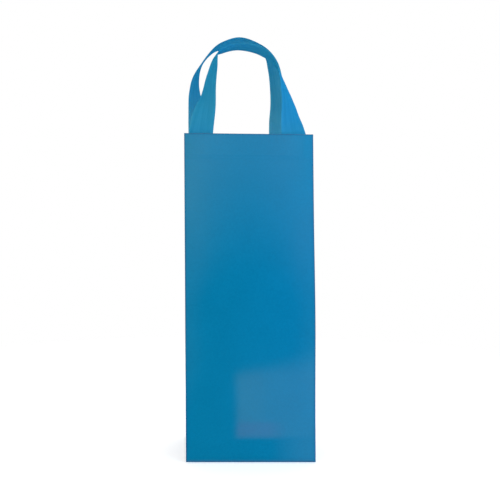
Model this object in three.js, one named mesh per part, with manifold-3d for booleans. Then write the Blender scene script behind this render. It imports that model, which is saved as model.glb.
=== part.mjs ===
// Bottle carrier bag: a gusseted paper tube on a block bottom, with a hem turned in at the mouth,
// a loose base card, and two carrying loops of flat tape glued to the inside of the hem.
// Millimetres, +Z up, front panel facing -Y, origin at the centre of the underside.
import * as THREE from "three";
import { mergeVertices } from "three/addons/utils/BufferGeometryUtils.js";
import Module from "manifold-3d";

const wasm = await Module();
wasm.setup();

// Bag
const bagWidth = 130;
const gussetDepth = 85;
const bagHeight = 330;
const paperThickness = 0.3;
const hemDepth = 25; // strip of the mouth folded down inside the bag
const mouthTuck = 14; // how far each gusset crease is drawn in at the mouth
const bottomLap = 20; // overlap of the two bottom flaps, centred under the bag
const foldSetback = 0.2; // bottom flaps stop this far inside the folded edges
const seamWidth = 15; // glue strip that closes the tube, inside the rear left corner

// Base card
const cardThickness = 1.2;
const cardClearance = 1.2; // to the walls
const cardCornerRadius = 2;
const cardLift = 0.05; // air under the loose card

// Handles
const tapeWidth = 25;
const tapeThickness = 0.5;
const handleRise = 104; // scale of the loops above the rim
const glueDrop = 9; // top of the glued end below the rim
const glueMargin = 1; // end of the tape short of the hem's raw edge
const glueFilm = 0.15;
const frontLeftInset = 3.5; // tape edge to bag edge
const frontRightInset = 7.5;
const rearLeftInset = 2.5;
const rearRightInset = 11.5;
const tapeSteps = 96;
const tapeColumns = 4; // facets across the tape

// Each loop's free stretch, left leg to right leg: place across (-1 and 1 on the legs), height over the
// rim (in rises), distance from the middle of the mouth (1 on the hem), and turn of the tape in degrees.
// The inner edge turns out over its own panel as the tape climbs, so that the arch lies flat.
const frontRoute = [
  [-1, -0.04, 0.985, 2],
  [-0.985, 0.05, 0.92, 11],
  [-0.925, 0.22, 0.83, 25],
  [-0.835, 0.42, 0.69, 54],
  [-0.75, 0.65, 0.52, 66],
  [-0.665, 0.82, 0.42, 79],
  [-0.48, 0.88, 0.37, 85],
  [-0.185, 0.915, 0.35, 87],
  [0.12, 0.905, 0.35, 90],
  [0.375, 0.865, 0.36, 91],
  [0.61, 0.775, 0.42, 86],
  [0.775, 0.61, 0.53, 75],
  [0.865, 0.44, 0.66, 61],
  [0.915, 0.305, 0.78, 49],
  [0.945, 0.16, 0.87, 32],
  [0.98, 0.04, 0.92, 13],
  [1, -0.04, 0.985, 2],
];
const rearRoute = [
  [-1, -0.04, 0.985, 2],
  [-1, 0.05, 0.92, 10],
  [-1.05, 0.3, 0.81, 33],
  [-1.12, 0.53, 0.69, 58],
  [-1.095, 0.685, 0.57, 76],
  [-0.94, 0.84, 0.47, 95],
  [-0.685, 0.965, 0.4, 95],
  [-0.43, 1.02, 0.37, 88],
  [-0.095, 1.055, 0.36, 85],
  [0.215, 1.03, 0.36, 86],
  [0.59, 0.95, 0.38, 89],
  [0.775, 0.81, 0.45, 71],
  [0.885, 0.585, 0.56, 60],
  [0.945, 0.41, 0.69, 48],
  [0.97, 0.255, 0.83, 31],
  [1, 0.05, 0.92, 11],
  [1, -0.04, 0.985, 2],
];

// Sizes that follow
const halfWidth = bagWidth / 2;
const halfDepth = gussetDepth / 2;
const mouthHalfDepth = Math.sqrt(halfDepth ** 2 - mouthTuck ** 2);
const apexHeight = halfDepth; // the bottom folds climb the gussets at 45 degrees
const apexTuck = Math.sqrt(halfDepth ** 2 - panelDistance(apexHeight) ** 2);
const sheetBottom = 2 * paperThickness; // two bottom flaps lie under the sheet
const floorTop = sheetBottom + paperThickness;
const hemEdge = bagHeight - hemDepth;

// Distance of the front and rear panels from the middle plane: they lean in towards the mouth.
function panelDistance(z) {
  return THREE.MathUtils.lerp(halfDepth, mouthHalfDepth, z / bagHeight);
}

// How far the gusset crease is drawn in at a height.
function creaseTuck(z) {
  if (z < apexHeight) return (apexTuck * z) / apexHeight;
  return THREE.MathUtils.mapLinear(z, apexHeight, bagHeight, apexTuck, mouthTuck);
}

// Level section of the tube, drawn in by an inset: right crease, rear corners, left crease, front corners.
function sectionAt(z, inset) {
  const y = panelDistance(z);
  const x = halfWidth - creaseTuck(z);
  const outline = [
    new THREE.Vector2(x, 0),
    new THREE.Vector2(halfWidth, y),
    new THREE.Vector2(-halfWidth, y),
    new THREE.Vector2(-x, 0),
    new THREE.Vector2(-halfWidth, -y),
    new THREE.Vector2(halfWidth, -y),
  ];
  const inward = outline.map((point, i) => {
    const edge = outline[(i + 1) % outline.length].clone().sub(point).normalize();
    return new THREE.Vector2(-edge.y, edge.x);
  });
  return outline.map((point, i) => {
    const before = inward[(i + outline.length - 1) % outline.length];
    const mitre = before.clone().add(inward[i]);
    const moved = point.clone().addScaledVector(mitre, inset / (1 + before.dot(inward[i])));
    return new THREE.Vector3(moved.x, moved.y, z);
  });
}

// Solid through a row of rings with equal, even point counts, each running anticlockwise about the way on.
// Each end is closed by zipping the ring's first half to its second half.
// crossed(k, j) turns the diagonal of the quad that starts at point j of ring k.
function loft(rings, crossed = () => false) {
  const count = rings[0].length;
  const index = [];
  for (let k = 0; k + 1 < rings.length; k++) {
    for (let j = 0; j < count; j++) {
      const a = k * count + j;
      const b = k * count + ((j + 1) % count);
      const c = b + count;
      const d = a + count;
      if (crossed(k, j)) index.push(a, b, d, b, c, d);
      else index.push(a, b, c, a, c, d);
    }
  }
  const end = (rings.length - 1) * count;
  for (let a = 0; a + 1 < count / 2; a++) {
    const b = a + 1;
    const c = count - 1 - b;
    const d = count - 1 - a;
    index.push(a, c, b, a, d, c);
    index.push(end + a, end + b, end + c, end + a, end + c, end + d);
  }
  return new THREE.BufferGeometry().setFromPoints(rings.flat()).setIndex(index);
}

function toSolid(geometry) {
  const bare = geometry.clone();
  bare.deleteAttribute("normal");
  bare.deleteAttribute("uv");
  const merged = mergeVertices(bare);
  return new wasm.Manifold(
    new wasm.Mesh({
      numProp: 3,
      vertProperties: merged.getAttribute("position").array,
      triVerts: new Uint32Array(merged.index.array),
    }),
  );
}

function toGeometry(solid) {
  const { vertProperties, triVerts } = solid.getMesh();
  const geometry = new THREE.BufferGeometry();
  geometry.setAttribute("position", new THREE.BufferAttribute(vertProperties, 3));
  geometry.setIndex(new THREE.BufferAttribute(triVerts, 1));
  geometry.computeVertexNormals();
  return geometry;
}

function namedMesh(name, geometry, material) {
  const mesh = new THREE.Mesh(geometry, material);
  mesh.name = name;
  return mesh;
}

// The folded sheet: up the outside, over the rim, down inside the hem and on to the floor.
// The gusset's diagonals run from the lower corner to the upper crease, as its folds do.
function sheetShell() {
  const rings = [
    sectionAt(sheetBottom, 0),
    sectionAt(apexHeight, 0),
    sectionAt(bagHeight, 0),
    sectionAt(bagHeight, 2 * paperThickness),
    sectionAt(hemEdge, 2 * paperThickness),
    sectionAt(hemEdge, paperThickness),
    sectionAt(apexHeight, paperThickness),
    sectionAt(floorTop, paperThickness),
  ];
  const rising = (k) => rings[k + 1][0].z > rings[k][0].z;
  return loft(rings, (k, j) => (j % 3 === 0) === rising(k));
}

// One bottom flap, seen from above: mitred at 45 degrees to the middle, then straight on under the other.
// side is -1 for the flap of the front panel and 1 for the rear one.
function bottomFlap(side, bottom) {
  const fold = halfDepth - foldSetback;
  const nose = halfWidth - halfDepth;
  const outline = new THREE.Shape();
  outline.moveTo(-nose - fold, side * fold);
  outline.lineTo(nose + fold, side * fold);
  outline.lineTo(nose, 0);
  outline.lineTo(nose, (-side * bottomLap) / 2);
  outline.lineTo(-nose, (-side * bottomLap) / 2);
  outline.lineTo(-nose, 0);
  outline.closePath();
  const depth = sheetBottom + paperThickness / 2 - bottom; // half the sheet is shared, so that they join
  const plate = new THREE.ExtrudeGeometry(outline, { depth, bevelEnabled: false });
  return plate.translate(0, 0, bottom);
}

// The glue strip on the rear panel's inner face, from the floor to the hem's raw edge.
function glueSeam() {
  const left = -halfWidth + paperThickness / 2;
  const ringAt = (z) => {
    const outside = panelDistance(z) - paperThickness / 2;
    const inside = panelDistance(z) - 2 * paperThickness;
    return [
      new THREE.Vector3(left, inside, z),
      new THREE.Vector3(left + seamWidth, inside, z),
      new THREE.Vector3(left + seamWidth, outside, z),
      new THREE.Vector3(left, outside, z),
    ];
  };
  return loft([ringAt(sheetBottom + paperThickness / 2), ringAt(hemEdge + paperThickness)]);
}

function bagBody() {
  const solid = toSolid(sheetShell())
    .add(toSolid(bottomFlap(-1, paperThickness)))
    .add(toSolid(bottomFlap(1, 0)))
    .add(toSolid(glueSeam()));
  return toGeometry(solid);
}

function baseCard() {
  const x = halfWidth - paperThickness - cardClearance;
  const y = panelDistance(floorTop) - 2 * paperThickness - cardClearance;
  const r = cardCornerRadius;
  const outline = new THREE.Shape();
  outline.absarc(x - r, y - r, r, 0, Math.PI / 2);
  outline.absarc(r - x, y - r, r, Math.PI / 2, Math.PI);
  outline.absarc(r - x, r - y, r, Math.PI, 1.5 * Math.PI);
  outline.absarc(x - r, r - y, r, 1.5 * Math.PI, 2 * Math.PI);
  const options = { depth: cardThickness, bevelEnabled: false, curveSegments: 4 };
  return new THREE.ExtrudeGeometry(outline, options).translate(0, 0, floorTop + cardLift);
}

// A carrying loop: a flat tape swept along its route and turned about it, with both ends straight on the hem.
// side is -1 for the front panel and 1 for the rear one.
function tapeLoop(side, leftInset, rightInset, route) {
  const leftLeg = leftInset + tapeWidth / 2 - halfWidth;
  const rightLeg = halfWidth - rightInset - tapeWidth / 2;
  const hemFace = (z) => panelDistance(z) - 2 * paperThickness - glueFilm - tapeThickness / 2;
  const gluedEnds = [hemEdge + glueMargin, bagHeight - glueDrop];
  const leg = (across) => (z) => ({ across, z, y: hemFace(z), turn: 0 });
  const stations = [
    ...gluedEnds.map(leg(-1)),
    ...route.map(([across, up, lean, turn]) => {
      const z = bagHeight + up * handleRise;
      return { across, z, y: lean * hemFace(Math.min(z, bagHeight)), turn };
    }),
    ...gluedEnds.map(leg(1)).reverse(),
  ];
  const places = stations.map(({ across, y, z }) => {
    const x = THREE.MathUtils.mapLinear(across, -1, 1, leftLeg, rightLeg);
    return new THREE.Vector3(x, side * y, z);
  });
  const turns = stations.map(({ turn }) => new THREE.Vector3(THREE.MathUtils.degToRad(side * turn), 0, 0));
  const path = new THREE.CatmullRomCurve3(places, false, "catmullrom");
  const turning = new THREE.CatmullRomCurve3(turns, false, "catmullrom");
  const rings = [];
  for (let i = 0; i <= tapeSteps; i++) {
    const along = path.getTangent(i / tapeSteps);
    const back = new THREE.Vector3(0, 1, 0).addScaledVector(along, -along.y).normalize();
    const across = new THREE.Vector3().crossVectors(back, along);
    across.applyAxisAngle(along, turning.getPoint(i / tapeSteps).x);
    const face = new THREE.Vector3().crossVectors(along, across);
    const middle = path.getPoint(i / tapeSteps);
    const edgePoints = (u) =>
      [0.5, -0.5].map((v) =>
        middle
          .clone()
          .addScaledVector(across, u * tapeWidth)
          .addScaledVector(face, v * tapeThickness),
      );
    const columns = Array.from({ length: tapeColumns + 1 }, (_, c) => edgePoints(0.5 - c / tapeColumns));
    const upper = columns.map(([top]) => top);
    const lower = columns.map(([, bottom]) => bottom);
    rings.push([...upper, ...lower.reverse()]);
  }
  return loft(rings, (k, j) => j > tapeColumns); // both faces of the tape share their diagonals
}

const filmBlue = new THREE.MeshStandardMaterial({ color: 0x157caa, roughness: 0.3, metalness: 0 });
const tapeBlue = new THREE.MeshStandardMaterial({ color: 0x2a86b6, roughness: 0.85, metalness: 0 });
const boardGrey = new THREE.MeshStandardMaterial({ color: 0xa9a296, roughness: 0.9, metalness: 0 });

const bag = new THREE.Group();
bag.add(namedMesh("bag_body", bagBody(), filmBlue));
bag.add(namedMesh("base_card", baseCard(), boardGrey));
bag.add(namedMesh("front_handle", tapeLoop(-1, frontLeftInset, frontRightInset, frontRoute), tapeBlue));
bag.add(namedMesh("rear_handle", tapeLoop(1, rearLeftInset, rearRightInset, rearRoute), tapeBlue));

export default bag;
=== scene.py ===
# Bottle carrier bag: a folded bag of glossy blue paper, white inside, with two loops of flat woven tape.
# Metres, +Z up, front panel facing -Y.
import bpy
import numpy as np
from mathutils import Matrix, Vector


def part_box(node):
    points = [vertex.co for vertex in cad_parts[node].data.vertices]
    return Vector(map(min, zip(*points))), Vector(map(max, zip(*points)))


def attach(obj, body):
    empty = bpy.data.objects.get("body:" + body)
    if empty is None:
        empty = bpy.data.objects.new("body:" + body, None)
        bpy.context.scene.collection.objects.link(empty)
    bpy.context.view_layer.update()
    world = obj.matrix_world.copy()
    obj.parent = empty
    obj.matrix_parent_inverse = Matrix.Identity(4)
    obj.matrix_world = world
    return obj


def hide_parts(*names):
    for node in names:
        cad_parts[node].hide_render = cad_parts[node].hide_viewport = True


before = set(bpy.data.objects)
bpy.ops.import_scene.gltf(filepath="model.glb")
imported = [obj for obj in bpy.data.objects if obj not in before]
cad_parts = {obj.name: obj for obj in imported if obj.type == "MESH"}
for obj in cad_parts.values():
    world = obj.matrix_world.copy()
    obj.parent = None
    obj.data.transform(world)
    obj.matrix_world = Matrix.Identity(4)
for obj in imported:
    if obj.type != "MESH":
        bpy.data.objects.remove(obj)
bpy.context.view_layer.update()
scene = bpy.context.scene
mm = 0.001


# Camera: level, a little left of the bag, with the frame shifted to keep the bag in the middle.
cameraSetup = {
    "place": (-49.6 * mm, -642.5 * mm, 213 * mm),
    "lens": 43.2,
    "sensor": 36.0,
    "shiftAcross": 0.1,
    "shiftUp": -0.001,
}


def makeCamera(setup):
    data = bpy.data.cameras.new("photo_camera")
    data.sensor_width = setup["sensor"]
    data.lens = setup["lens"]
    data.shift_x = setup["shiftAcross"]
    data.shift_y = setup["shiftUp"]
    data.clip_start = 0.01
    camera = bpy.data.objects.new("photo_camera", data)
    camera.location = setup["place"]
    camera.rotation_euler = (np.pi / 2, 0, 0)
    scene.collection.objects.link(camera)
    scene.camera = camera


makeCamera(cameraSetup)
print("camera set")


# Small helpers for meshes
def smoothStep(low, high, value):  # 0 below low, 1 above high, with level ends
    t = np.clip((value - low) / (high - low), 0, 1)
    return t * t * (3 - 2 * t)


def softEdge(place, soft, value):  # 0 before the place, 1 after it
    return smoothStep(place - soft, place + soft, value)


def ridge(value, middle, width):  # bell curve, 1 in the middle
    return np.exp(-(((value - middle) / width) ** 2))


def gridQuads(rows, columns, closed=False):
    # Corner numbers of every quad between neighbouring rows and columns of a grid.
    r = np.arange(rows - 1)[:, None]
    c = np.arange(columns if closed else columns - 1)[None, :]
    after = (c + 1) % columns
    quad = (r * columns + c, r * columns + after, (r + 1) * columns + after, (r + 1) * columns + c)
    return np.stack(quad, axis=-1).reshape(-1, 4)


def ringSkin(rings):
    # Closed skin through rings of points: quads between rings, and a fan to a middle point at both ends.
    rows, columns = rings.shape[:2]
    ends = np.stack([rings[0].mean(axis=0), rings[-1].mean(axis=0)])
    points = np.concatenate([rings.reshape(-1, 3), ends])
    here = np.arange(columns)
    after = (here + 1) % columns
    first = np.full(columns, rows * columns)
    last = (rows - 1) * columns
    startFan = np.stack([first, after, here], axis=-1)
    endFan = np.stack([first + 1, last + here, last + after], axis=-1)
    quads = gridQuads(rows, columns, closed=True)
    return points, quads.tolist() + startFan.tolist() + endFan.tolist()


def slabSkin(upper, lower):
    # Closed slab between two grids of points: both faces, and a strip of quads round the border.
    rows, columns = upper.shape[:2]
    count = rows * columns
    points = np.concatenate([upper.reshape(-1, 3), lower.reshape(-1, 3)])
    top = gridQuads(rows, columns)
    number = np.arange(count).reshape(rows, columns)
    border = np.concatenate([number[0, :-1], number[:-1, -1], number[-1, :0:-1], number[:0:-1, 0]])
    after = np.roll(border, -1)
    strip = np.stack([after, border, border + count, after + count], axis=-1)
    return points, np.concatenate([top, top[:, ::-1] + count, strip]).tolist()


def addPiece(name, points, faces, materials, replaced=()):
    mesh = bpy.data.meshes.new(name)
    mesh.from_pydata(points.tolist(), [], faces)
    mesh.polygons.foreach_set("use_smooth", np.ones(len(faces), bool))
    for material in materials:
        mesh.materials.append(material)
    mesh.update()
    piece = bpy.data.objects.new(name, mesh)
    scene.collection.objects.link(piece)
    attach(piece, "root")
    if replaced:
        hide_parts(*replaced)
    return piece


def addPointValue(piece, name, values):
    layer = piece.data.attributes.new(name, "FLOAT", "POINT")
    layer.data.foreach_set("value", np.ascontiguousarray(values, np.float32))


# Small helpers for materials
noiseSpan = (0.3, 0.7)  # most values of a noise lie in here


def startMaterial(name):
    material = bpy.data.materials.new(name)
    material.use_nodes = True
    tree = material.node_tree
    return material, tree, tree.nodes["Principled BSDF"]


def startBlank(owner):  # node tree of a material or a world, emptied
    owner.use_nodes = True
    owner.node_tree.nodes.clear()
    return owner.node_tree


def addNode(tree, kind, inputs=None, **settings):
    made = tree.nodes.new(kind)
    for key, value in settings.items():
        setattr(made, key, value)
    for socket, value in (inputs or {}).items():
        feed(tree, value, made.inputs[socket])
    return made


def feed(tree, value, socket):
    if isinstance(value, bpy.types.NodeSocket):
        tree.links.new(value, socket)
    else:
        socket.default_value = value


def maths(tree, operation, a, b=0.0):
    return addNode(tree, "ShaderNodeMath", {0: a, 1: b}, operation=operation).outputs[0]


def scaled(tree, value, factor):
    return maths(tree, "MULTIPLY", value, factor)


def noise(tree, coords, scale, detail=2.0, roughness=0.5):
    inputs = {"Vector": coords, "Scale": scale, "Detail": detail, "Roughness": roughness}
    return addNode(tree, "ShaderNodeTexNoise", inputs).outputs[0]


def stretch(tree, coords, scale):
    return addNode(tree, "ShaderNodeMapping", {"Vector": coords, "Scale": scale}).outputs[0]


def remap(tree, value, low, high, toLow, toHigh):
    inputs = {0: value, 1: low, 2: high, 3: toLow, 4: toHigh}
    return addNode(tree, "ShaderNodeMapRange", inputs).outputs[0]


def blendColours(tree, factor, first, second):
    inputs = {0: factor, 6: first, 7: second}
    return addNode(tree, "ShaderNodeMix", inputs, data_type="RGBA").outputs[2]


def bump(tree, height, strength, distance):
    inputs = {"Height": height, "Strength": strength, "Distance": distance}
    return addNode(tree, "ShaderNodeBump", inputs).outputs[0]


# Glossy film on the outside of the paper
filmFinish = {
    "deep": (0.0002, 0.172, 0.337, 1),
    "light": (0.001, 0.192, 0.375, 1),
    # fold: a painted shade, the darker blue laid along the folds, the rim, the foot and the gussets' diagonal
    # folds
    "fold": (0.0002, 0.055, 0.155, 1),
    "cloud": 30,  # per metre, faint unevenness of the ink
    "mottle": 420,
    "peel": 240,  # the film's slight ripple
    "fibre": 1300,  # paper fibres under the film
    "toneShares": (0.3, 0.5, 0.2),  # cloud, mottle and fibre
    "toneSpan": (0.38, 0.62),
    "gloss": 0.36,
    "foldGloss": 0.04,  # the film is cracked dull along its sharp folds
    "roughness": (0.07, 0.1),
    "wornRoughness": 0.3,
    "foldShadeSpan": (0.4, 0.65),
    "foldShadeShow": (0.5, 0.9),  # least and most of the painted fold shade, broken up by the fibres
    "relief": (0.15, 0.03 * mm),  # strength and depth
    "fibreRelief": 0.1,
    "apex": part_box("bag_body")[1].y,
    # The gussets' diagonal folds get a painted shade line, as the mesh leaves them soft; they also roughen
    # like the other folds.
    "diagonalReach": (0.2 * mm, 0.9 * mm),
    "diagonalShadeAndWear": 0.55,
}


def makeFilm(finish, name, gloss):
    material, tree, shader = startMaterial(name)
    coords = addNode(tree, "ShaderNodeTexCoord").outputs["Object"]
    cloud = noise(tree, coords, finish["cloud"], detail=3.0)
    fibre = noise(tree, coords, finish["fibre"])
    mottle = noise(tree, coords, finish["mottle"], detail=3.0, roughness=0.6)
    peel = noise(tree, coords, finish["peel"], detail=1.0)
    cloudShare, mottleShare, fibreShare = finish["toneShares"]
    fine = maths(tree, "ADD", scaled(tree, mottle, mottleShare), scaled(tree, fibre, fibreShare))
    tone = maths(tree, "ADD", scaled(tree, cloud, cloudShare), fine)
    ink = blendColours(tree, remap(tree, tone, *finish["toneSpan"], 0, 1), finish["deep"], finish["light"])
    # Painted shade along the folds, the rim and the foot, and wear that roughens the film there, from the
    # mesh's values
    shadeAndWear = addNode(tree, "ShaderNodeAttribute", attribute_name="foldShadeAndWear").outputs["Fac"]
    # The gussets' diagonal folds lie where the height and the distance from the crease add up to the apex;
    # they take the same painted shade and roughening.
    place = addNode(tree, "ShaderNodeSeparateXYZ", {0: coords}).outputs
    above = maths(tree, "ADD", place["Z"], maths(tree, "ABSOLUTE", place["Y"]))
    offLine = maths(tree, "ABSOLUTE", maths(tree, "SUBTRACT", above, finish["apex"]))
    diagonal = remap(tree, offLine, *finish["diagonalReach"], finish["diagonalShadeAndWear"], 0)
    shadeAndWear = maths(tree, "MAXIMUM", shadeAndWear, diagonal)
    # Painted fold shade, broken up by the fibres, darkens the ink towards the fold colour.
    foldShadeMask = maths(tree, "MULTIPLY", shadeAndWear, remap(tree, fibre, *finish["foldShadeSpan"], *finish["foldShadeShow"]))
    feed(tree, blendColours(tree, foldShadeMask, ink, finish["fold"]), shader.inputs["Base Color"])
    smooth = remap(tree, fibre, *noiseSpan, *finish["roughness"])
    rough = maths(tree, "ADD", smooth, scaled(tree, shadeAndWear, finish["wornRoughness"]))
    feed(tree, rough, shader.inputs["Roughness"])
    height = maths(tree, "ADD", peel, scaled(tree, fibre, finish["fibreRelief"]))
    feed(tree, bump(tree, height, *finish["relief"]), shader.inputs["Normal"])
    shader.inputs["Specular IOR Level"].default_value = gloss
    return material


# Uncoated white paper on the inside
paperFinish = {
    "light": (0.86, 0.855, 0.835, 1),
    "shade": (0.77, 0.76, 0.735, 1),
    "fibre": 420,
    "fibreStretch": (1, 1, 0.25),
    "grain": 1500,
    "toneShares": (0.7, 0.3),  # fibre and grain
    "toneSpan": (0.38, 0.62),
    "gloss": 0.25,
    "roughness": (0.8, 0.92),
    "relief": (0.4, 0.08 * mm),
}


def makePaper(finish):
    material, tree, shader = startMaterial("white_paper")
    coords = addNode(tree, "ShaderNodeTexCoord").outputs["Object"]
    upright = stretch(tree, coords, finish["fibreStretch"])
    fibre = noise(tree, upright, finish["fibre"], detail=4.0, roughness=0.6)
    grain = noise(tree, coords, finish["grain"])
    fibreShare, grainShare = finish["toneShares"]
    tone = maths(tree, "ADD", scaled(tree, fibre, fibreShare), scaled(tree, grain, grainShare))
    paleness = remap(tree, tone, *finish["toneSpan"], 0, 1)
    colour = blendColours(tree, paleness, finish["shade"], finish["light"])
    feed(tree, colour, shader.inputs["Base Color"])
    feed(tree, remap(tree, grain, *noiseSpan, *finish["roughness"]), shader.inputs["Roughness"])
    feed(tree, bump(tree, tone, *finish["relief"]), shader.inputs["Normal"])
    shader.inputs["Specular IOR Level"].default_value = finish["gloss"]
    return material


# Ribbed woven tape; the cut tape's own map gives the place across and along it in metres
tapeFinish = {
    # groove: a painted shade, the darker colour laid in the weave's grooves; crown: the lighter colour on the
    # ribs
    "grooveShade": (0.009, 0.18, 0.36, 1),
    "crown": (0.0195, 0.238, 0.47, 1),
    "ribPitch": 0.85 * mm,
    "warpPitch": 0.45 * mm,
    "selvedge": 11.4 * mm,  # the closer weave starts this far from the middle
    "selvedgeFlat": 0.6,  # how much lower the ribs are there
    "warpShare": 0.35,
    "wander": 160,  # per metre, how the ribs stray
    "wanderStretch": (1, 0.3, 1),
    "strand": 1800,
    "strandStretch": (1, 0.08, 1),
    "strandShare": 0.8,
    "weaveSpan": (-1.0, 1.9),
    "streak": 330,  # faint stripes along the tape where it was folded and pressed
    "streakStretch": (1, 0.05, 1),
    "streakShare": 0.3,
    "roughness": (0.5, 0.66),
    "relief": (0.35, 0.06 * mm),
    "lightThrough": 0.3,  # the weave is thin, and lets some light through
    "scatter": 5 * mm,
}


def makeTape(finish):
    material, tree, shader = startMaterial("woven_tape")
    cut = addNode(tree, "ShaderNodeUVMap", uv_map="tapeCut").outputs[0]
    place = addNode(tree, "ShaderNodeSeparateXYZ", {0: cut})
    across, along = place.outputs[0], place.outputs[1]
    wander = noise(tree, stretch(tree, cut, finish["wanderStretch"]), finish["wander"])
    rib = maths(tree, "SINE", maths(tree, "ADD", scaled(tree, along, 2 * np.pi / finish["ribPitch"]), wander))
    warp = maths(tree, "SINE", scaled(tree, across, 2 * np.pi / finish["warpPitch"]))
    edge = maths(tree, "GREATER_THAN", maths(tree, "ABSOLUTE", across), finish["selvedge"])
    middle = maths(tree, "SUBTRACT", 1.0, scaled(tree, edge, finish["selvedgeFlat"]))
    crossed = maths(tree, "ADD", rib, scaled(tree, warp, finish["warpShare"]))
    weave = maths(tree, "MULTIPLY", crossed, middle)
    drawn = stretch(tree, cut, finish["strandStretch"])
    strand = noise(tree, drawn, finish["strand"], detail=3.0, roughness=0.6)
    height = maths(tree, "ADD", weave, scaled(tree, strand, finish["strandShare"]))
    streak = noise(tree, stretch(tree, cut, finish["streakStretch"]), finish["streak"])
    striped = remap(tree, streak, *noiseSpan, -finish["streakShare"], finish["streakShare"])
    # Colour by the weave's height: painted shade in the grooves, lighter on the crowns, plus the tape's own
    # faint stripes
    shade = maths(tree, "ADD", remap(tree, height, *finish["weaveSpan"], 0, 1), striped)
    feed(tree, blendColours(tree, shade, finish["grooveShade"], finish["crown"]), shader.inputs["Base Color"])
    feed(tree, remap(tree, strand, *noiseSpan, *finish["roughness"]), shader.inputs["Roughness"])
    feed(tree, bump(tree, height, *finish["relief"]), shader.inputs["Normal"])
    shader.inputs["Specular IOR Level"].default_value = 0.0
    shader.inputs["Subsurface Weight"].default_value = finish["lightThrough"]
    shader.inputs["Subsurface Radius"].default_value = (1, 1, 1)
    shader.inputs["Subsurface Scale"].default_value = finish["scatter"]
    return material


# Grey board of the base card
boardFinish = {
    "dark": (0.33, 0.31, 0.28, 1),
    "light": (0.53, 0.51, 0.47, 1),
    "fibre": 700,
    "fibreStretch": (0.35, 1, 1),
    "fibreSpan": (0.3, 0.65),
    "fibreShow": (0.2, 1),
    "fleck": 260,
    "fleckSpan": (0.62, 0.72),
    "fleckDark": 0.5,
    "gloss": 0.2,
    "roughness": 0.9,
    "relief": (0.5, 0.1 * mm),
}


def makeBoard(finish):
    material, tree, shader = startMaterial("grey_pulp_board")
    coords = addNode(tree, "ShaderNodeTexCoord").outputs["Object"]
    lying = stretch(tree, coords, finish["fibreStretch"])
    fibre = noise(tree, lying, finish["fibre"], detail=4.0, roughness=0.65)
    fleck = noise(tree, coords, finish["fleck"], detail=3.0, roughness=0.7)
    flecked = remap(tree, fleck, *finish["fleckSpan"], 0, finish["fleckDark"])
    fibrous = remap(tree, fibre, *finish["fibreSpan"], *finish["fibreShow"])
    shade = maths(tree, "SUBTRACT", fibrous, flecked)
    feed(tree, blendColours(tree, shade, finish["dark"], finish["light"]), shader.inputs["Base Color"])
    shader.inputs["Roughness"].default_value = finish["roughness"]
    shader.inputs["Specular IOR Level"].default_value = finish["gloss"]
    feed(tree, bump(tree, fibre, *finish["relief"]), shader.inputs["Normal"])
    return material


film = makeFilm(filmFinish, "blue_film", filmFinish["gloss"])
foldedFilm = makeFilm(filmFinish, "blue_film_folds", filmFinish["foldGloss"])
paper = makePaper(paperFinish)
wovenTape = makeTape(tapeFinish)
pulpBoard = makeBoard(boardFinish)
print("materials made")


# Bag: one folded sheet. Widths and heights come from the solid; the folds are as its own.
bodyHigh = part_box("bag_body")[1]
bag = {
    "halfWidth": bodyHigh.x,
    "halfDepth": bodyHigh.y,
    "height": bodyHigh.z,
    "paper": 0.3 * mm,
    "hem": 25 * mm,
    "mouthTuck": 14 * mm,  # how far each gusset crease stands in at the mouth
    "foldRadius": 0.32 * mm,  # upright corners
    "innerRadius": 0.15 * mm,  # least bend left on the inner face of a corner
    "footRadius": 0.5 * mm,  # folds round the bottom
    "creaseSoftness": 0.7 * mm,
    "diagonalSoftness": 0.05,  # share of the gusset's tuck
    "leastFlank": 1.5 * mm,  # narrowest fall from a diagonal fold to the corner
    "bow": 0.9 * mm,  # the panels stand out a little between their folds
    "ripple": 0.1 * mm,
    "waveAcross": 14 * mm,  # over one radian of the ripple
    "waveUp": 21 * mm,
    "waveStart": (1.1, 0.4),  # across and up, in radians
    "rearShift": (2.3, 1.7),
    "hemLine": 0.04 * mm,  # the hem's raw edge and its glue line show faintly outside
    "lineWidth": 0.8 * mm,
    "hemShares": (0.6, 0.7),  # of the step and of the edge
    "glueLineDrop": 21.4 * mm,
    "tapeShow": 0.06 * mm,  # and so do the ends of the tapes
    "showSoftness": 0.9 * mm,
    "showMargin": 3 * mm,  # below the rim
    "bottomLap": 20 * mm,
    "lapStep": 2 * mm,  # over which the outer flap comes down from the inner one
    "flapSetback": 0.2 * mm,
    "seamPlaces": [0, 0.3, 4, 9, 13.8, 14.1],  # mm across the glue seam
    "lean": 0.006,
    "stillLevel": 208 * mm,
    "sideSwell": 0.9 * mm,
    "swellLevel": 145 * mm,
    "swellReach": 75 * mm,
    "rimSink": 1.4 * mm,
    "sinkReach": 90 * mm,
    "cornerShadeAndWear": (1.3, 0.7 * mm),  # strength and reach of the painted shade and the wear along each fold
    "creaseShadeAndWear": (0.6, 0.8 * mm),
    "rimShadeAndWear": (1.3, 0.7 * mm),
    "footShadeAndWear": (1.8, 1 * mm),
    "flapShadeAndWear": (1, 0.6 * mm),
}
mouthHalfDepth = np.sqrt(bag["halfDepth"] ** 2 - bag["mouthTuck"] ** 2)
apexHeight = bag["halfDepth"]
hemEdge = bag["height"] - bag["hem"]
sheetBottom = 2 * bag["paper"]
floorTop = 3 * bag["paper"]


def panelDistance(z):  # straight lean from the foot to the mouth
    return bag["halfDepth"] + (mouthHalfDepth - bag["halfDepth"]) * z / bag["height"]


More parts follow.
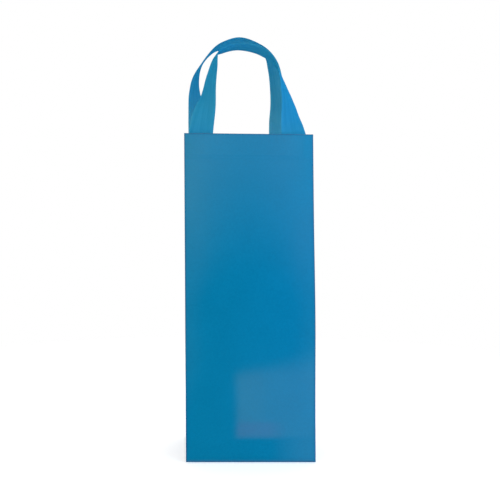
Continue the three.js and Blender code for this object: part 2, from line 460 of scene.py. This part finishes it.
def leaned(points):
    # The bag stands askew: each level moves across by its distance from one still level. Towards the right
    # the side stands out round mid height, and the rim sinks over the last stretch below it.
    x, y, z = np.moveaxis(points, -1, 0)
    toRight = (1 + x / bag["halfWidth"]) / 2
    swell = bag["sideSwell"] * ridge(z, bag["swellLevel"], bag["swellReach"])
    sink = bag["rimSink"] * smoothStep(bag["height"] - bag["sinkReach"], bag["height"], z)
    across = (bag["stillLevel"] - z) * bag["lean"] + swell * toRight
    return np.stack([x + across, y, z - sink * toRight], axis=-1)


apexTuck = np.sqrt(bag["halfDepth"] ** 2 - panelDistance(apexHeight) ** 2)


def creaseTuck(z):  # straight from the foot to the apex of the bottom folds, then straight to the mouth
    return np.interp(z, [0, apexHeight, bag["height"]], [0, apexTuck, bag["mouthTuck"]])


def gussetDepth(y, z):
    # The gusset stands in by the crease's tuck, falling evenly from the crease to the corner. Below the
    # apex the fall begins at the diagonal fold, which climbs from the corner at 45 degrees.
    edge = panelDistance(z) - bag["foldRadius"]
    diagonal = np.maximum(apexHeight - z, 0)
    fromMiddle = np.sqrt(y**2 + bag["creaseSoftness"] ** 2) - bag["creaseSoftness"]
    share = np.maximum(edge - fromMiddle, 0) / np.maximum(edge - diagonal, bag["leastFlank"])
    level = (1 + share - np.sqrt((1 - share) ** 2 + bag["diagonalSoftness"] ** 2)) / 2
    return creaseTuck(z) * np.clip(level, 0, 1)


def panelBow(x, z, rear):
    # An even bulge across and up the panel, and two crossed waves that die away at the folds. The waves start
    # elsewhere on the rear panel.
    across = 1 - (x / bag["halfWidth"]) ** 2
    up = np.sin(np.pi * np.clip(z / hemEdge, 0, 1))
    startAcross, startUp = (start + shift * rear for start, shift in zip(bag["waveStart"], bag["rearShift"]))
    wave = np.sin(x / bag["waveAcross"] + startAcross) * np.sin(z / bag["waveUp"] + startUp)
    return across * up * (bag["bow"] + bag["ripple"] * wave)


print("bag shape set")


# Carrying loops: route rows hold the place across (-1 and 1 on the legs), the height over the rim in rises,
# the distance from the middle of the mouth (1 on the hem) and the turn of the tape in degrees, which brings
# its inner edge out over its own panel.
loops = {
    "tapeWidth": 25 * mm,
    "tapeThickness": 0.5 * mm,
    "rise": 104 * mm,
    "glueDrop": 9 * mm,
    "glueMargin": 1 * mm,
    "glueFilm": 0.15 * mm,
    "stepsPerStation": 18,
    "columns": 21,
    "columnBend": 0.94,  # nearer 1 crowds the columns at the edges
    "cup": 0.35 * mm,  # the hollow changes sides along the tape
    "cupWave": 0.46,  # share of the length
    "cupStart": 0.5,
    "creaseFade": 18 * mm,
    "flatBy": 26 * mm,  # from each end, where the tape lies flat
    "freeBy": 60 * mm,
    "faintFrom": (20 * mm, 30 * mm),  # where the first trace of the hollow and the creases sets in
    "faintShare": 0.15,
    "edgeThinning": 0.75,
    "edgeSharpness": 14,
}
frontLoop = {
    "side": -1,
    "leftInset": 3.5 * mm,
    "rightInset": 7.5 * mm,
    "creases": [(0.35, 0.1, 0.25 * mm, 20 * mm, 95 * mm), (-0.3, 0.12, -0.2 * mm, 195 * mm, 270 * mm)],
    "route": [
        [-1, -0.04, 0.985, 2],
        [-0.985, 0.05, 0.92, 11],
        [-0.925, 0.22, 0.83, 25],
        [-0.835, 0.42, 0.69, 54],
        [-0.75, 0.65, 0.52, 66],
        [-0.665, 0.82, 0.42, 79],
        [-0.48, 0.88, 0.37, 85],
        [-0.185, 0.915, 0.35, 87],
        [0.12, 0.905, 0.35, 90],
        [0.375, 0.865, 0.36, 91],
        [0.61, 0.775, 0.42, 86],
        [0.775, 0.61, 0.53, 75],
        [0.865, 0.44, 0.66, 61],
        [0.915, 0.305, 0.78, 49],
        [0.945, 0.16, 0.87, 32],
        [0.98, 0.04, 0.92, 13],
        [1, -0.04, 0.985, 2],
    ],
}
rearLoop = {
    "side": 1,
    "leftInset": 2.5 * mm,
    "rightInset": 11.5 * mm,
    "creases": [
        (-0.55, 0.09, 0.4 * mm, 225 * mm, 315 * mm),
        (-0.15, 0.1, 0.35 * mm, 235 * mm, 315 * mm),
        (0.3, 0.12, -0.25 * mm, 225 * mm, 310 * mm),
    ],
    "route": [
        [-1, -0.04, 0.985, 2],
        [-1, 0.05, 0.92, 10],
        [-1.05, 0.3, 0.81, 33],
        [-1.12, 0.53, 0.69, 58],
        [-1.095, 0.685, 0.57, 76],
        [-0.94, 0.84, 0.47, 95],
        [-0.685, 0.965, 0.4, 95],
        [-0.43, 1.02, 0.37, 88],
        [-0.095, 1.055, 0.36, 85],
        [0.215, 1.03, 0.36, 86],
        [0.59, 0.95, 0.38, 89],
        [0.775, 0.81, 0.45, 71],
        [0.885, 0.585, 0.56, 60],
        [0.945, 0.41, 0.69, 48],
        [0.97, 0.255, 0.83, 31],
        [1, 0.05, 0.92, 11],
        [1, -0.04, 0.985, 2],
    ],
}


def loopLegs(loop):  # middle of the left and the right leg
    half = loops["tapeWidth"] / 2
    return loop["leftInset"] + half - bag["halfWidth"], bag["halfWidth"] - loop["rightInset"] - half


def hemFace(z):  # middle of a tape that is glued to the hem
    return panelDistance(z) - 2 * bag["paper"] - loops["glueFilm"] - loops["tapeThickness"] / 2


def outsideRelief(x, z, loop):
    # What shows through the hem: a low step at its raw edge, its glue line, and the ends of the two tapes.
    half = loops["tapeWidth"] / 2
    soft = bag["showSoftness"]
    stepShare, edgeShare = bag["hemShares"]
    hem = softEdge(hemEdge, soft, z) * stepShare + ridge(z, hemEdge, bag["lineWidth"]) * edgeShare
    glueLine = ridge(z, bag["height"] - bag["glueLineDrop"], bag["lineWidth"])
    ends = 0
    for leg in loopLegs(loop):
        inside = softEdge(-half, soft, x - leg) * softEdge(-half, soft, leg - x)
        ends = ends + inside * smoothStep(hemEdge, hemEdge + 2 * soft, z)
    level = 1 - smoothStep(bag["height"] - bag["showMargin"], bag["height"], z)
    return level * (bag["hemLine"] * (hem + glueLine) + bag["tapeShow"] * ends)


def foldShadeAndWear(kind, distance):  # painted shade and wear, falling away from a fold
    strength, reach = bag[kind]
    return strength * np.exp(-distance / reach)


def spread(count, near):  # places from -1 to 1, with close neighbours at both ends
    inner = np.linspace(-1, 1, count)
    return np.unique(np.concatenate([inner, 1 - np.array(near), np.array(near) - 1]))


def roundedOutline(panelPlaces, sidePlaces, arcSteps):
    # Rounded rectangle, anticlockwise from the right side: an anchor on the rectangle, in shares of its half
    # sizes, and the way out from there. The radius and the sizes are put in later.
    quarter = np.linspace(0, np.pi / 2, arcSteps + 1)[1:-1]
    corners = [(1, 1), (-1, 1), (-1, -1), (1, -1)]
    parts = []
    for turn, (cornerX, cornerY) in enumerate(corners):
        upright = turn % 2 == 0
        places = sidePlaces if upright else panelPlaces
        way = 1 if turn < 2 else -1
        still = np.ones_like(places)
        if upright:
            parts.append(np.stack([cornerX * still, way * places, cornerX * still, 0 * still]))
        else:
            parts.append(np.stack([-way * places, cornerY * still, 0 * still, cornerY * still]))
        angle = quarter + turn * np.pi / 2
        still = np.ones_like(angle)
        parts.append(np.stack([cornerX * still, cornerY * still, np.cos(angle), np.sin(angle)]))
    return np.concatenate(parts, axis=1)


def bagRings(rowZ, rowInset, rowShrink, rowOutside):
    # Each row is the rounded rectangle of its height, with the gussets folded in and the panels bowed. It is
    # moved in along the sheet's own normal by the row's inset, and drawn to the middle by its shrink.
    panelPlaces = spread(49, [0.004, 0.012, 0.02])
    middle = np.array([0.012, 0.03, 0.055])
    sidePlaces = np.unique(np.concatenate([spread(41, [0.006, 0.018]), middle, -middle]))
    anchorX, anchorY, outX, outY = roundedOutline(panelPlaces, sidePlaces, 6)
    z = rowZ[:, None]
    inset = rowInset[:, None]
    radius = np.maximum(bag["foldRadius"], inset + bag["innerRadius"])
    x = anchorX * (bag["halfWidth"] - radius) + radius * outX
    y = anchorY * (panelDistance(z) - radius) + radius * outY
    tucked = x - outX * gussetDepth(y, z)
    shown = np.where(y < 0, outsideRelief(x, z, frontLoop), outsideRelief(x, z, rearLoop))
    bowed = y + outY * (panelBow(x, z, y > 0) + rowOutside[:, None] * shown)
    alongX = np.roll(tucked, -1, axis=1) - np.roll(tucked, 1, axis=1)
    alongY = np.roll(bowed, -1, axis=1) - np.roll(bowed, 1, axis=1)
    length = np.hypot(alongX, alongY)
    keep = 1 - rowShrink[:, None]
    rings = [(tucked - inset * alongY / length) * keep, (bowed + inset * alongX / length) * keep, z + 0 * x]
    # Painted shade and wear: strongest on the upright folds, the rim and the foot, weaker on the gusset
    # creases. The shade darkens the ink; the wear roughens the film.
    fromCorner = (1 - np.abs(anchorX)) * bag["halfWidth"] + (1 - np.abs(anchorY)) * bag["halfDepth"]
    corner = foldShadeAndWear("cornerShadeAndWear", fromCorner) + 0 * z
    crease = foldShadeAndWear("creaseShadeAndWear", np.abs(y)) * np.abs(outX)
    rim = foldShadeAndWear("rimShadeAndWear", np.abs(bag["height"] - z))
    foot = foldShadeAndWear("footShadeAndWear", np.abs(z - sheetBottom)) * keep
    shadeAndWear = np.minimum(np.maximum(np.maximum(corner, crease), np.maximum(rim, foot)), 1)
    onArc = outX * outY != 0
    return np.stack(rings, axis=-1), shadeAndWear, onArc


def makeBag():
    foot = bag["footRadius"]
    bend = np.linspace(0, np.pi / 2, 6)
    roll = np.linspace(0, np.pi, 8)
    innerFoot = foot - bag["paper"]
    wall = np.concatenate(
        [
            sheetBottom + foot + np.array([0.25, 0.8, 2]) * mm,
            np.linspace(sheetBottom + 4 * mm, apexHeight + 3 * mm, 22),
            np.linspace(apexHeight + 3 * mm, hemEdge - 5 * mm, 42)[1:],
            np.arange(hemEdge - 4 * mm, hemEdge + 7 * mm, 0.5 * mm),
            np.linspace(hemEdge + 8 * mm, bag["height"] - 4 * mm, 6),
            bag["height"] - np.array([2.5, 1.2, 0.6]) * mm,
        ]
    )
    hemWall = bag["height"] - np.array([0.6, 1.5, 4, 10, 17, 22, 24, 24.7, 25]) * mm
    belowHem = wall[wall < hemEdge - 6 * mm][::-1]
    innerWall = np.concatenate([hemEdge - np.array([0, 0.3, 1, 3]) * mm, belowHem])
    shrink = np.array([0.97, 0.8, 0.5, 0.25, 0.1, 0.03])
    flat = np.full(len(shrink), foot)
    sections = [
        # height, inset, shrink, outside, blue
        (0 * flat + sheetBottom, flat, shrink, 0, 1),
        (sheetBottom + foot * (1 - np.cos(bend)), foot * (1 - np.sin(bend)), 0 * bend, 0, 1),
        (wall, 0 * wall, 0 * wall, 1, 1),
        (
            bag["height"] - bag["paper"] * (1 - np.sin(roll)),
            bag["paper"] * (1 - np.cos(roll)),
            0 * roll,
            0,
            1,
        ),
        (hemWall, 0 * hemWall + 2 * bag["paper"], 0 * hemWall, 0, 1),
        (innerWall, 0 * innerWall + bag["paper"], 0 * innerWall, 0, 0),
        (
            floorTop + innerFoot * (1 - np.cos(bend[::-1])),
            bag["paper"] + innerFoot * (1 - np.sin(bend[::-1])),
            0 * bend,
            0,
            0,
        ),
        (0 * flat + floorTop, flat, shrink[::-1], 0, 0),
    ]
    rowZ, rowInset, rowShrink = (np.concatenate([part[k] for part in sections]) for k in range(3))
    rowCount = [len(part[0]) for part in sections]
    rowOutside, rowBlue = (np.repeat([part[k] for part in sections], rowCount) for k in (3, 4))
    rings, shadeAndWear, onArc = bagRings(rowZ, rowInset, rowShrink, rowOutside)
    points, faces = ringSkin(leaned(rings))
    piece = addPiece("bag_shell", points, faces, [film, paper, foldedFilm], ["bag_body"])
    columns = rings.shape[1]
    # Faces are white inside, and dull blue on the upright folds and the foot.
    white = 1 - np.minimum(rowBlue[:-1], rowBlue[1:])[:, None]
    row = np.arange(len(rowZ) - 1)
    footRow = (row >= len(shrink)) & (row < len(shrink) + len(bend))
    dull = footRow[:, None] | onArc[None, :] | np.roll(onArc, -1)[None, :]
    finish = np.where(white > 0, 1, 2 * dull).ravel()
    finish = np.concatenate([finish, np.zeros(columns), np.ones(columns)]).astype(np.int32)
    piece.data.polygons.foreach_set("material_index", finish)
    # Painted shade and wear along the folds, for the film's colour and roughness
    addPointValue(piece, "foldShadeAndWear", np.concatenate([shadeAndWear.ravel(), [0, 0]]))


def makeBottomFlap(name, side, bottom):
    # A flap on a grid: lines from its fold to its free edge, each as wide as the mitred outline is there.
    fold = panelDistance(sheetBottom) - bag["flapSetback"]
    nose = bag["halfWidth"] - bag["halfDepth"]
    lap = bag["bottomLap"] / 2
    line = np.unique(np.concatenate([np.linspace(-lap, fold, 15), [0, fold - 0.5 * mm]]))[::-1]
    across = spread(25, [0.01])
    width = nose + np.maximum(line, 0)
    x = across[None, :] * width[:, None] * -side
    y = side * line[:, None] + 0 * x
    overlap = bag["paper"] * (1 - smoothStep(lap, lap + bag["lapStep"], line)) if bottom == 0 else 0 * line
    thick = sheetBottom - bottom - overlap
    lower = np.stack([x, y, bottom + 0 * x], axis=-1)
    upper = np.stack([x, y, bottom + thick[:, None] + 0 * x], axis=-1)
    points, faces = slabSkin(leaned(upper), leaned(lower))
    piece = addPiece(name, points, faces, [film])
    edge = (1 - np.abs(across))[None, :] * width[:, None]
    # Painted shade and wear along the flap's mitred edges and its free edge
    shadeAndWear = foldShadeAndWear("flapShadeAndWear", np.minimum(edge, (line + lap)[:, None]))
    addPointValue(piece, "foldShadeAndWear", np.concatenate([shadeAndWear.ravel(), shadeAndWear.ravel()]))


def makeGlueSeam():
    # A strip on the inner face of the rear panel, a grid of heights by widths that follows the panel's bow.
    height = np.linspace(floorTop + 0.5 * mm, hemEdge, 60)[:, None]
    across = (-bag["halfWidth"] + bag["foldRadius"] + np.array(bag["seamPlaces"]) * mm)[None, :]
    face = panelDistance(height) + panelBow(across, height, 1) - bag["paper"]
    x = across + 0 * height
    z = height + 0 * across
    outer = np.stack([x, face, z], axis=-1)
    inner = np.stack([x, face - bag["paper"], z], axis=-1)
    points, faces = slabSkin(leaned(inner), leaned(outer))
    addPiece("glue_seam", points, faces, [paper])


makeBag()
makeBottomFlap("bottom_flap_front", -1, bag["paper"])
makeBottomFlap("bottom_flap_rear", 1, 0)
makeGlueSeam()
print("bag made")


# Base card: loose on the floor of the bag
cardLow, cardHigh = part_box("base_card")
board = {"corner": 2 * mm, "edge": 0.25 * mm}


def makeCard():
    # The edge's profile, rounded above and below, carried round a rounded rectangle.
    half = (cardHigh - cardLow) / 2
    bend = np.linspace(0, np.pi / 2, 4)
    inset = np.concatenate([board["edge"] * (1 - np.sin(bend)), board["edge"] * (1 - np.cos(bend))])
    drop = board["edge"] * (1 - np.cos(bend))
    height = np.concatenate([cardLow.z + drop, cardHigh.z - board["edge"] * (1 - np.sin(bend))])
    shrink = np.array([0.97, 0.6, 0.25, 0.02])
    still = np.ones_like(shrink)
    keep = 1 - np.concatenate([shrink, 0 * inset, shrink[::-1]])[:, None]
    inset = np.concatenate([board["edge"] * still, inset, board["edge"] * still])[:, None]
    height = np.concatenate([cardLow.z * still, height, cardHigh.z * still])[:, None]
    anchorX, anchorY, outX, outY = roundedOutline(spread(21, [0.01]), spread(15, [0.015]), 6)
    radius = board["corner"]
    x = (anchorX * (half.x - radius) + outX * (radius - inset)) * keep
    y = (anchorY * (half.y - radius) + outY * (radius - inset)) * keep
    points, faces = ringSkin(leaned(np.stack([x, y, height + 0 * x], axis=-1)))
    addPiece("bottom_board", points, faces, [pulpBoard], ["base_card"])


makeCard()
print("base card made")


def hermite(stations, place):
    # Cubic through the stations, with half the step between a station's neighbours as its slope.
    slopes = np.gradient(stations, axis=0)
    at = np.minimum(place.astype(int), len(stations) - 2)
    t = (place - at)[:, None]
    start, end, leave, arrive = stations[at], stations[at + 1], slopes[at], slopes[at + 1]
    point = (2 * t**3 - 3 * t**2 + 1) * start + (t**3 - 2 * t**2 + t) * leave
    point = point + (3 * t**2 - 2 * t**3) * end + (t**3 - t**2) * arrive
    slope = (6 * t**2 - 6 * t) * (start - end) + (3 * t**2 - 4 * t + 1) * leave + (3 * t**2 - 2 * t) * arrive
    return point, slope


def unit(vectors):
    return vectors / np.linalg.norm(vectors, axis=-1, keepdims=True)


def loopPath(loop):
    # The route's stations in space, with the turn as a fourth number, and both ends straight down the hem.
    left, right = loopLegs(loop)
    across, up, lean, turn = np.array(loop["route"]).T
    height = bag["height"] + up * loops["rise"]
    depth = lean * hemFace(np.minimum(height, bag["height"]))
    free = np.stack([across, depth, height, np.radians(turn)], axis=-1)
    ends = np.array([hemEdge + loops["glueMargin"], bag["height"] - loops["glueDrop"]])
    glued = np.stack([0 * ends, hemFace(ends), ends, 0 * ends], axis=-1)
    first = glued + [-1, 0, 0, 0]
    last = (glued + [1, 0, 0, 0])[::-1]
    stations = np.concatenate([first, free, last])
    stations[:, 0] = left + (stations[:, 0] + 1) / 2 * (right - left)
    stations[:, [1, 3]] *= loop["side"]
    place = np.linspace(0, len(stations) - 1, (len(stations) - 1) * loops["stepsPerStation"] + 1)
    return hermite(stations, place)


def makeLoop(name, loop, replaced):
    # The tape's flat section carried along the route: it lies square to the path and to the bag's depth, then
    # turns about the path. Lengthwise creases and a slight hollow are added to its face.
    point, slope = loopPath(loop)
    middle, turn = point[:, :3], point[:, 3:]
    along = unit(slope[:, :3])
    back = unit(np.array([0, 1, 0]) - along * along[:, 1:2])
    level = np.cross(back, along)
    across = level * np.cos(turn) + np.cross(along, level) * np.sin(turn)
    face = np.cross(along, across)
    step = np.linalg.norm(np.diff(middle, axis=0), axis=1)
    run = np.concatenate([[0], np.cumsum(step)])
    length = run[-1]
    quarter = np.pi / 2 * loops["columnBend"]
    u = np.sin(np.linspace(-1, 1, loops["columns"]) * quarter) / np.sin(quarter)
    hollow = np.sin(run * 2 * np.pi / (loops["cupWave"] * length) + loops["cupStart"])
    lift = loops["cup"] * hollow[:, None] * (1 - u**2)[None, :]
    fade = loops["creaseFade"]
    for place, width, rise, start, end in loop["creases"]:
        window = smoothStep(start, start + fade, run) * (1 - smoothStep(end - fade, end, run))
        lift = lift + rise * window[:, None] * ridge(u, place, width)[None, :]
    fromEnds = np.minimum(run, length - run)
    free = smoothStep(loops["flatBy"], loops["freeBy"], fromEnds)
    faint = loops["faintShare"] * smoothStep(*loops["faintFrom"], fromEnds)
    lift = lift * np.maximum(free, faint)[:, None]
    half = loops["tapeThickness"] / 2 * (1 - loops["edgeThinning"] * np.abs(u) ** loops["edgeSharpness"])
    aside = u * loops["tapeWidth"] / 2
    centre = middle[:, None] + across[:, None] * aside[None, :, None] + face[:, None] * lift[..., None]
    thick = face[:, None] * half[None, :, None]
    points, faces = slabSkin(centre - thick, centre + thick)
    piece = addPiece(name, points, faces, [wovenTape], [replaced])
    cut = np.stack(np.broadcast_arrays(aside[None, :], run[:, None]), axis=-1).reshape(-1, 2)
    corner = np.empty(len(piece.data.loops), np.int32)
    piece.data.loops.foreach_get("vertex_index", corner)
    layer = piece.data.uv_layers.new(name="tapeCut")
    layer.data.foreach_set("uv", np.concatenate([cut, cut])[corner].astype(np.float32).ravel())
    print(name, "flat length in mm", round(float(length) / mm, 1))


makeLoop("front_loop", frontLoop, "front_handle")
makeLoop("rear_loop", rearLoop, "rear_handle")
print("loops made")


# Stage: a pale floor that fades into the white surroundings
stage = {
    "floorRadius": 0.9,
    "floorRings": 12,
    "floorSpokes": 65,
    "floorDrop": 0.3 * mm,
    "fadeStart": 0.3,
    "fadeEnd": 0.85,
    "floorGlow": 0.5,
    "floorColour": (0.9, 0.82, 0.82, 1),
}


def addStagePlane(name, x, y, z, material):
    # A flat grid of points.
    rows, columns = x.shape
    points = np.stack([x, y, z + 0 * x], axis=-1).reshape(-1, 3)
    mesh = bpy.data.meshes.new(name)
    mesh.from_pydata(points.tolist(), [], gridQuads(rows, columns).tolist())
    mesh.materials.append(material)
    mesh.update()
    plane = bpy.data.objects.new(name, mesh)
    scene.collection.objects.link(plane)
    return plane


def showsBackground(tree):  # 1 for rays from the camera, a gloss or a clear surface
    path = addNode(tree, "ShaderNodeLightPath").outputs
    seen = maths(tree, "MAXIMUM", path["Is Camera Ray"], path["Is Glossy Ray"])
    return maths(tree, "MAXIMUM", seen, path["Is Transmission Ray"])


def makeFloor():
    # Rings of points; seen from below the floor is clear.
    material = bpy.data.materials.new("pale_floor")
    tree = startBlank(material)
    coords = addNode(tree, "ShaderNodeTexCoord").outputs["Object"]
    reach = addNode(tree, "ShaderNodeVectorMath", {0: coords}, operation="LENGTH").outputs["Value"]
    underside = addNode(tree, "ShaderNodeNewGeometry").outputs["Backfacing"]
    fade = maths(tree, "MAXIMUM", remap(tree, reach, stage["fadeStart"], stage["fadeEnd"], 0, 1), underside)
    matt = addNode(tree, "ShaderNodeBsdfDiffuse", {"Color": stage["floorColour"]}).outputs[0]
    strength = maths(tree, "MULTIPLY", showsBackground(tree), stage["floorGlow"])
    glow = addNode(tree, "ShaderNodeEmission", {"Strength": strength}).outputs[0]
    lit = addNode(tree, "ShaderNodeAddShader", {0: matt, 1: glow}).outputs[0]
    clear = addNode(tree, "ShaderNodeBsdfTransparent").outputs[0]
    mixed = addNode(tree, "ShaderNodeMixShader", {0: fade, 1: lit, 2: clear}).outputs[0]
    addNode(tree, "ShaderNodeOutputMaterial", {"Surface": mixed})
    r = np.linspace(mm, stage["floorRadius"], stage["floorRings"])[:, None]
    angle = np.linspace(2 * np.pi, 0, stage["floorSpokes"])[None, :]
    floor = addStagePlane("floor", r * np.cos(angle), r * np.sin(angle), -stage["floorDrop"], material)
    floor.visible_diffuse = False


# Graduated card that only the gloss of the film shows: dark before the panel, paler towards its top, with a
# soft pale field low on the right. Places and widths are in shares of the panel's half width and height.
card = {
    "distance": 0.68,  # from the panel to the card's upright part
    "lift": 2 * mm,
    "columns": 81,
    "rows": 141,
    "reachAcross": 2.2,
    "reachUp": (-0.03, 1.12),
    "whiteFrom": 1.5,  # white from here outwards
    "riseStart": 0.6,
    "riseEnd": 1.12,
    "riseBend": 1.25,
    "sideLift": 0.6,
    "sideDrop": 0.13,
    "rampWarm": (1.0, 1.0, 0.3),  # tints of the ramp towards the left and the right
    "rampCool": (0.5, 1.25, 1.7),
    "tintAcross": (0.4, 1.1),
    "coolUp": (0.66, 0.88),
    "edgeTone": (0.19, 0.3, 0.08),  # low glow at both sides
    "edgeAcross": (0.8, 1.3),
    "edgeFoot": (0.12, 0.3),
    "edgeTop": (0.45, 0.75),
    "fieldLeft": -0.215,
    "leftSoft": 0.02,
    "fieldLow": 0.076,
    "lowSoft": 0.006,
    "lowFade": (0.3, 0.9),  # across which the field's foot grows vague
    "lowFaded": 0.75,
    "fieldHigh": 0.278,
    "fieldSlope": 0.033,
    "highSoft": (0.018, 0.03),  # on the left, and how much more on the right
    "highFade": (0.2, 1),
    "fieldTone": (0.85, 0.72, 0.3),
    "fieldCool": (0.7, 0.74, 0.75),
    "coolAcross": (0.1, 0.35),
    "bandHigh": 0.123,
    "bandSoft": 0.005,
    "bandFade": (0.25, 0.65),
    "bandTone": (1.25, 0.0, 0.0),
}


def cardGlow(across, up):
    # A bent ramp up the panel, lower and stronger at the sides and tinted towards them, plus the field inside
    # its soft edges and a faint glow low at both sides.
    outward = np.clip(across, -1, 1) ** 2
    climb = up + card["sideDrop"] * outward - card["riseStart"]
    ramp = np.clip(climb / (card["riseEnd"] - card["riseStart"]), 0, 1) ** card["riseBend"]
    surround = smoothStep(card["whiteFrom"], card["reachAcross"], np.abs(across))
    white = np.maximum(np.clip(ramp * (1 + card["sideLift"] * outward), 0, 1), surround)[..., None]
    warmer = smoothStep(*card["tintAcross"], -across) * (1 - surround) + 0 * up
    cooler = smoothStep(*card["tintAcross"], across) * smoothStep(*card["coolUp"], up) * (1 - surround)
    rampTint = 1 + warmer[..., None] * (np.array(card["rampWarm"]) - 1)
    rampTint = rampTint + cooler[..., None] * (np.array(card["rampCool"]) - 1)
    foot = softEdge(card["fieldLow"], card["lowSoft"], up)
    field = np.maximum(foot, card["lowFaded"] * smoothStep(*card["lowFade"], across))
    field = field * softEdge(card["fieldLeft"], card["leftSoft"], across)
    leftSoft, moreSoft = card["highSoft"]
    topSoft = leftSoft + moreSoft * smoothStep(*card["highFade"], across)
    field = field * (1 - softEdge(card["fieldHigh"] + card["fieldSlope"] * across, topSoft, up))
    cool = (smoothStep(*card["coolAcross"], across) + 0 * up)[..., None]
    tint = np.array(card["fieldTone"]) * (1 - cool) + np.array(card["fieldCool"]) * cool
    band = 1 - softEdge(card["bandHigh"], card["bandSoft"], up)
    band = (band * (1 - smoothStep(*card["bandFade"], across)))[..., None]
    tint = tint * (1 - band) + np.array(card["bandTone"]) * band
    edge = smoothStep(*card["edgeAcross"], np.abs(across)) * smoothStep(*card["edgeFoot"], up)
    edge = edge * (1 - smoothStep(*card["edgeTop"], up))
    low = field[..., None] * tint + edge[..., None] * np.array(card["edgeTone"])
    return white * rampTint + (1 - white) * low


def makeGraduatedCard():
    # Each point lies where a flat panel turns back the camera's ray: on the floor or on an upright plane.
    across = np.linspace(-1, 1, card["columns"])[None, :] * card["reachAcross"]
    up = np.linspace(*card["reachUp"], card["rows"])[:, None]
    eyeX, eyeY, eyeZ = cameraSetup["place"]
    face = -panelDistance(bag["height"] / 2)
    x = across * bag["halfWidth"] + 0 * up
    z = up * bag["height"] + 0 * across
    run = face - eyeY
    fall = np.maximum(eyeZ - z, mm)
    toFloor = np.maximum(z - card["lift"], 0.5 * mm) / fall
    t = np.minimum(toFloor, card["distance"] / run)
    height = np.maximum(z + t * (z - eyeZ), card["lift"])
    material = bpy.data.materials.new("graduated_card")
    tree = startBlank(material)
    colour = addNode(tree, "ShaderNodeAttribute", attribute_name="cardGlow").outputs["Color"]
    light = addNode(tree, "ShaderNodeEmission", {"Color": colour, "Strength": 1.0}).outputs[0]
    addNode(tree, "ShaderNodeOutputMaterial", {"Surface": light})
    plane = addStagePlane("graduated_card", x + t * (x - eyeX), face - t * run, height, material)
    layer = plane.data.attributes.new("cardGlow", "FLOAT_COLOR", "POINT")
    glow = cardGlow(across, up)
    layer.data.foreach_set("color", np.concatenate([glow, np.ones_like(glow[..., :1])], axis=-1).ravel())
    plane.visible_camera = False
    plane.visible_diffuse = False
    plane.visible_shadow = False


# White all round to the eye; what lights the bag is dimmer above than below, as over a pale floor
surroundings = {"above": 0.38, "below": 0.98, "span": (-0.5, 0.5)}


def makeSurroundings():
    world = bpy.data.worlds.new("white_surroundings")
    tree = startBlank(world)
    way = addNode(tree, "ShaderNodeTexCoord").outputs["Generated"]
    height = addNode(tree, "ShaderNodeSeparateXYZ", {0: way}).outputs["Z"]
    level = remap(tree, height, *surroundings["span"], surroundings["below"], surroundings["above"])
    soft = addNode(tree, "ShaderNodeBackground", {"Color": (1, 1, 1, 1), "Strength": level}).outputs[0]
    white = addNode(tree, "ShaderNodeBackground", {"Color": (1, 1, 1, 1), "Strength": 1.0}).outputs[0]
    mixed = addNode(tree, "ShaderNodeMixShader", {0: showsBackground(tree), 1: soft, 2: white}).outputs[0]
    addNode(tree, "ShaderNodeOutputWorld", {"Surface": mixed})
    scene.world = world


lamps = [
    # name, place, aimed at, size, watts, colour
    ("soft_left", (-0.8, -0.8, 0.35), (0, 0, 0.25), 0.8, 3.2, (1.0, 1.0, 0.6)),
    ("soft_right", (0.8, -0.8, 0.35), (0, 0, 0.25), 0.8, 4.9, (0.3, 1.0, 0.9)),
    ("cool_near", (0.26, -0.2, 0.36), (0.03, -0.04, 0.26), 0.3, 0.28, (0.05, 0.2, 1.0)),
    ("cool_low", (0.25, -0.22, 0.08), (0.05, -0.04, 0.1), 0.3, 0.28, (0.1, 0.25, 1.0)),
    ("soft_top", (0.1, 0.2, 1.4), (0, 0, 0), 1.0, 3.6, (1.0, 1.0, 1.0)),
    ("over_mouth", (0, 0.01, 1.2), (0, 0, 0), 0.35, 2.4, (1.0, 1.0, 1.0)),
    ("soft_back", (0.3, 1.1, 0.5), (0, 0, 0.2), 0.8, 3.6, (0.6, 0.95, 1.0)),
]


def makeLamps():
    for name, place, target, size, watts, colour in lamps:
        data = bpy.data.lights.new(name, "AREA")
        data.size = size
        data.energy = watts
        data.color = colour
        lamp = bpy.data.objects.new(name, data)
        lamp.location = place
        aim = Vector(target) - Vector(place)
        lamp.rotation_euler = aim.to_track_quat("-Z", "Y").to_euler()
        lamp.visible_camera = False
        lamp.visible_glossy = min(colour) == 1  # a tinted lamp would stain the gloss
        scene.collection.objects.link(lamp)


makeFloor()
makeGraduatedCard()
makeSurroundings()
makeLamps()
scene.view_settings.view_transform = "Standard"
print("stage set")
